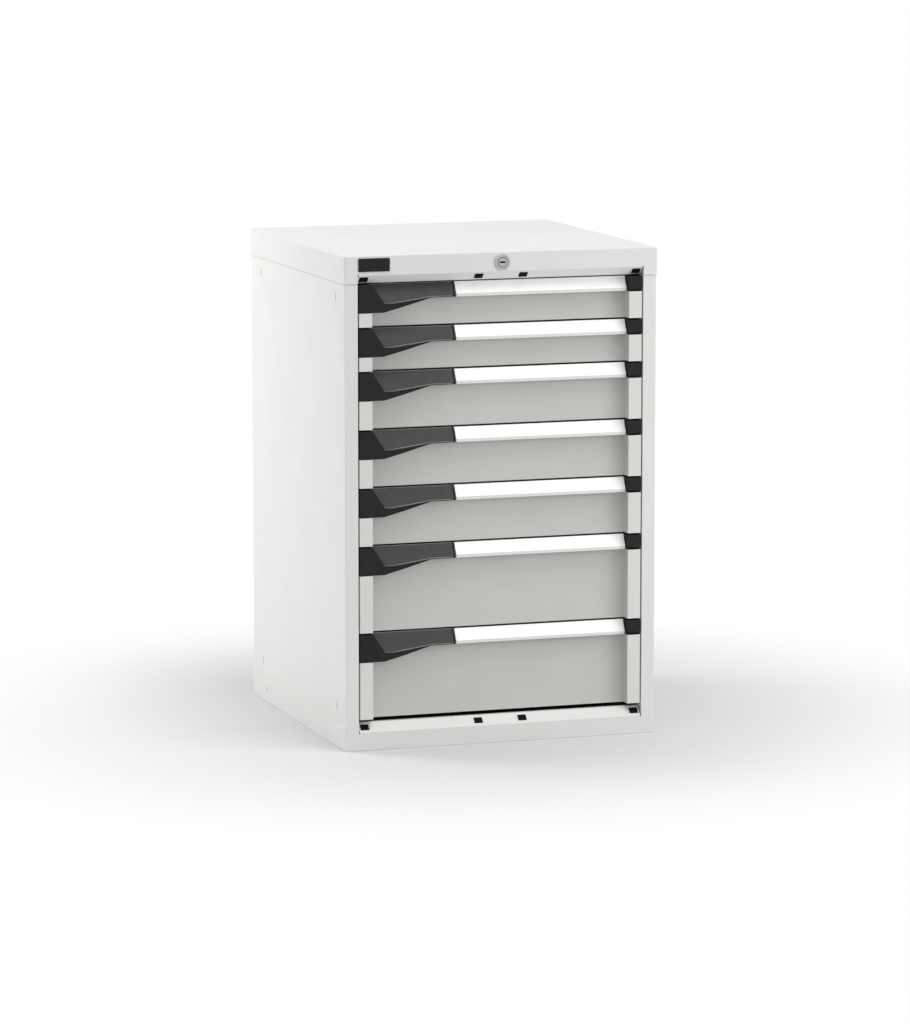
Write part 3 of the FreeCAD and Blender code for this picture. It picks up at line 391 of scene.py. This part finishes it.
def ring_cutter():
    """What is turned off the lock's front ring: a sloping rim outside and a step down to the plug."""
    work = bmesh.new()
    add_turned(work, [(12.4, -1), (15, -1), (15, 1.9), (13.9, 1.3), (13.3, 0.35), (12.4, 0.02)])
    add_turned(work, [(8.6, -1), (10.9, -1), (10.9, 0.05), (10.2, 1.3), (8.6, 1.5)])
    return work


def plug_cutter():
    """What is turned off the plug, so that its face stands back, with a groove round the key slot."""
    work = bmesh.new()
    add_turned(work, [(8.0, -1), (9.6, -1), (9.6, 1.7), (8.7, 1.6), (8.0, 0.45)])
    add_turned(work, [(6.9, -1), (7.5, -1), (7.5, 0.9), (6.9, 0.9)])
    length, width = KEY_SLOT
    add_block(work, (-length, RING_FRONT - 1, LOCK_AXIS[1] - width),
              (length, RING_FRONT + 9, LOCK_AXIS[1] + width))
    return work


def in_key_slot(face):
    """The walls of the slot, which lie near the plug's axis and behind its face, and get the painted
    shade.
    """
    spot = face.calc_center_median()
    across = math.hypot(spot.x, spot.z - mm(LOCK_AXIS[1]))
    return across < mm(KEY_SLOT[0] + 0.4) and mm(RING_FRONT + 0.3) < spot.y < mm(RING_FRONT + 12.2)


def on_panel(face):
    """The front panel behind the posts, with its bent foot, which gets the darker coat of painted shade.
    """
    return all(abs(corner.co.x) < mm(PANEL_HALF) and corner.co.y < mm(FRONT_PLANE + PANEL_REACH)
               for corner in face.verts)


def rounded_corner(work, radius):
    """Round the lever's lower left corner: the lowest edge that runs from front to back, leftmost."""
    front = [edge for edge in work.edges
             if all(corner.co.y < mm(FRONT_PLANE + LEVER_REACH) for corner in edge.verts)
             and abs(edge.verts[0].co.y - edge.verts[1].co.y) > 0.9 * edge.calc_length()]
    lowest = min(corner.co.z for edge in front for corner in edge.verts)
    low = [edge for edge in front if max(corner.co.z for corner in edge.verts) < lowest + mm(1)]
    first = min(corner.co.x for edge in low for corner in edge.verts)
    corner = [edge for edge in low if max(end.co.x for end in edge.verts) < first + mm(1)]
    bmesh.ops.bevel(work, geom=corner, offset=mm(radius), segments=6, profile=0.5, affect="EDGES")


def tray_slots(number):
    """Upright slots for partitions, one every unit, in a tray's side walls and in its back wall."""
    low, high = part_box(f"drawer_{number}_tray")
    bottom = low.z * 1000
    rim = high.z * 1000 - WALL_DROP
    side_foot, back_foot, head = bottom + SIDE_SLOT_FOOT, bottom + BACK_SLOT_FOOT, rim - SLOT_MARGIN
    work = bmesh.new()
    for step in range(SLOTS):
        across = TRAY_CORNER[0] + UNIT * (step + 1)
        back = FRONT_PLANE + TRAY_CORNER[1] + UNIT * (step + 1)
        for side in (-1, 1):
            inner, outer = sorted(side * edge for edge in TRAY_SIDE)
            add_block(work, (inner, back - SLOT_HALF, side_foot), (outer, back + SLOT_HALF, head))
        add_block(work, (across - SLOT_HALF, FRONT_PLANE + TRAY_BACK[0], back_foot),
                  (across + SLOT_HALF, FRONT_PLANE + TRAY_BACK[1], head))
    return work


for number in DRAWERS:
    drawer = f"drawer_{number}"
    # The recessed panels take the darker coat: painted shade of the recess.
    dressed(f"{drawer}_tray", drawer_coat, 0.8, 0.3, tray_slots(number), panel_coat_painted_shade, on_panel)
    dressed(f"{drawer}_grip_rail", coated_aluminium, 0.6, 0.5)
    dressed(f"{drawer}_label_strip", label_card, 0.5, 0.3)
    dressed(f"{drawer}_handle_ends", black_nylon, 0.9, 0.5)
    dressed(f"{drawer}_latch_lever", grey_abs, 0.3, 0.2, corner=4)
    dressed(f"{drawer}_carriages", zinc_plate, 0.5, 0.3)

for node in ("top_cover", "base_pan"):
    dressed(node, powder_coat, 1.2, 0.35)
for node, side in (("left_side_shell", -1), ("right_side_shell", 1)):
    dressed(node, powder_coat, 1.0, 0.3, shell_seam(side))
dressed("back_panel", powder_coat, 1.0, 0.3)
dressed("bevel_plugs", black_rubber, 0.5, 0.3)
dressed("side_plugs", pale_polyethylene, 0.5, 0.3)
dressed("lock_nut", zinc_plate, 0.6, 0.4)
for node in ("fixed_rails", "latch_strikes", "lock_bar_guides", "lock_draw_bar", "lock_lift_bar"):
    dressed(node, zinc_plate, 0.5, 0.3)
dressed("lock_barrel", satin_nickel, 0.25, 0.15, ring_cutter())
# The walls of the key slot get a near-black material: painted shade.
dressed("lock_plug", satin_nickel, 0.2, 0.1, plug_cutter(), slot_painted_shade, in_key_slot)

# These two keep the CAD mesh.
for node, material in (("name_plate", black_abs_plate), ("columns", zinc_plate)):
    frame["nodes"][node].data.materials[0] = material

# Floor, light and camera


def looked_at(tree):
    """1 where a ray shows the backdrop itself or its mirror image, 0 where it only carries light."""
    ray = add(tree, "ShaderNodeLightPath")
    mirrored = add(tree, "ShaderNodeMath", {
        0: ray.outputs["Is Camera Ray"], 1: ray.outputs["Is Glossy Ray"]}, operation="MAXIMUM")
    through = add(tree, "ShaderNodeMath", {
        0: mirrored.outputs["Value"], 1: ray.outputs["Is Transmission Ray"]}, operation="MAXIMUM")
    return through.outputs["Value"]


def stage_material():
    """Pale floor: it keeps the cabinet's shadow and fades to plain white around it."""
    material, tree = new_material("studio_floor")
    spot = add(tree, "ShaderNodeTexCoord")
    drift = add(tree, "ShaderNodeTexNoise", {
        "Vector": spot.outputs["Object"], "Scale": per_metre(900)})
    shade = add(tree, "ShaderNodeValToRGB", {"Fac": drift.outputs["Fac"]})
    shade.color_ramp.elements[0].color = linear("D5D5D5")
    shade.color_ramp.elements[1].color = linear("D8D8D8")
    pale = add(tree, "ShaderNodeBsdfDiffuse", {"Color": shade.outputs["Color"]})
    matt = add(tree, "ShaderNodeBsdfDiffuse", {"Color": linear("E4E4E4")})
    white = add(tree, "ShaderNodeEmission", {"Color": linear("FFFFFF"), "Strength": 1.0})
    reach = add(tree, "ShaderNodeVectorMath", {0: spot.outputs["Object"]}, operation="LENGTH")
    fade = add(tree, "ShaderNodeMapRange", {
        "Value": reach.outputs["Value"], "From Min": 0.35, "From Max": 1.1},
        interpolation_type="SMOOTHSTEP")
    faded = add(tree, "ShaderNodeMixShader", {
        0: fade.outputs["Result"], 1: pale.outputs["BSDF"], 2: white.outputs["Emission"]})
    mix = add(tree, "ShaderNodeMixShader", {
        0: looked_at(tree), 1: matt.outputs["BSDF"], 2: faded.outputs["Shader"]})
    add(tree, "ShaderNodeOutputMaterial", {"Surface": mix.outputs["Shader"]})
    return material


floor_work = bmesh.new()
bmesh.ops.create_grid(floor_work, x_segments=8, y_segments=8, size=40)
floor_mesh = bpy.data.meshes.new("floor")
floor_work.to_mesh(floor_mesh)
floor_work.free()
floor_mesh.materials.append(stage_material())
floor = bpy.data.objects.new("floor", floor_mesh)
bpy.context.scene.collection.objects.link(floor)

world = bpy.data.worlds.new("studio")
bpy.context.scene.world = world
world.use_nodes = True
studio = world.node_tree
studio.nodes.clear()
dome = add(studio, "ShaderNodeBackground", {"Color": linear("FFFFFF"), "Strength": 0.58})
backdrop = add(studio, "ShaderNodeBackground", {"Color": linear("FFFFFF"), "Strength": 1.0})
around = add(studio, "ShaderNodeMixShader", {
    0: looked_at(studio), 1: dome.outputs["Background"], 2: backdrop.outputs["Background"]})
add(studio, "ShaderNodeOutputWorld", {"Surface": around.outputs["Shader"]})


def add_panel_light(name, spot, target, size, watts, mirrored=True):
    """A square soft panel at spot, facing target, both in metres.

    A low one isn't mirrored, because its glare would cover the top when it is seen from behind.
    """
    lamp = bpy.data.lights.new(name, "AREA")
    lamp.shape = "SQUARE"
    lamp.size = size
    lamp.energy = watts
    panel = bpy.data.objects.new(name, lamp)
    panel.location = spot
    panel.visible_glossy = mirrored
    panel.rotation_mode = "QUATERNION"
    panel.rotation_quaternion = (Vector(target) - Vector(spot)).to_track_quat("-Z", "Y")
    bpy.context.scene.collection.objects.link(panel)


add_panel_light("overhead_panel", (0.0, -0.9, 4.6), (0, -0.2, 0.45), 2.0, 35)
add_panel_light("high_front_panel", (0.5, -1.7, 3.9), (0, -0.2, 0.45), 1.4, 32)
add_panel_light("left_rear_panel", (-1.6, 0.95, 1.2), (-0.2, 0, 0.4), 0.9, 19, False)
add_panel_light("right_panel", (1.9, -1.5, 1.0), (0.1, -0.2, 0.45), 1.0, 17, False)

# The lens, place and turn were fitted to the cabinet's straight edges in the photograph.
camera_data = bpy.data.cameras.new("camera")
camera_data.sensor_width = 36
camera_data.lens = 168.3
camera_data.clip_end = 200
camera = bpy.data.objects.new("camera", camera_data)
camera.location = place(-2634.2, -7975.8, 1618.7)
camera.rotation_euler = (math.radians(90 - 8.512), 0, math.radians(-18.342))
bpy.context.scene.collection.objects.link(camera)
bpy.context.scene.camera = camera
bpy.context.scene.view_settings.view_transform = "Standard"
